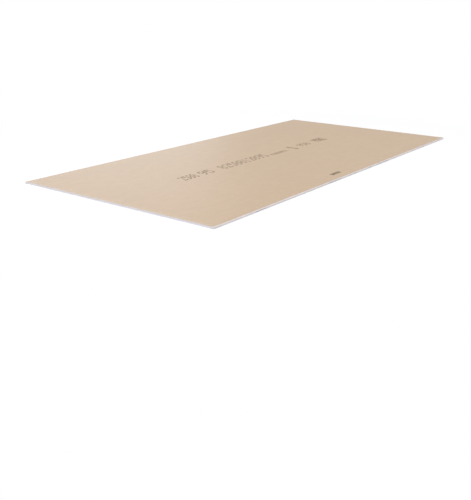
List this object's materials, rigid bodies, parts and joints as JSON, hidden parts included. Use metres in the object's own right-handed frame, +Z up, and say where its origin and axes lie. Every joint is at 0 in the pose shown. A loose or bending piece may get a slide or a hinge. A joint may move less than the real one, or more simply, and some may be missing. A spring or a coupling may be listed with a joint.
{
  "type": "drywall sheet",
  "caption": "Flat gypsum board with a wrapped face paper, tapered long edges, square-cut ends and a kraft back, lying on its face.",
  "frame": {"origin": "centre of the finish face, on the surface that the sheet lies on", "axes": "+X across the sheet to one wrapped long edge, +Y along the sheet to one cut end, +Z up through the kraft back"},
  "size_m": [1.2, 2.5, 0.0095],
  "materials": {
    "core": "matte cast gypsum, cut",
    "face_paper": "smooth matte light paper",
    "back_paper": "matte unbleached kraft"
  },
  "bodies": {
    "root": {"face_liner": "face_paper", "gypsum_core": "core", "back_liner": "back_paper"}
  },
  "joints": []
}
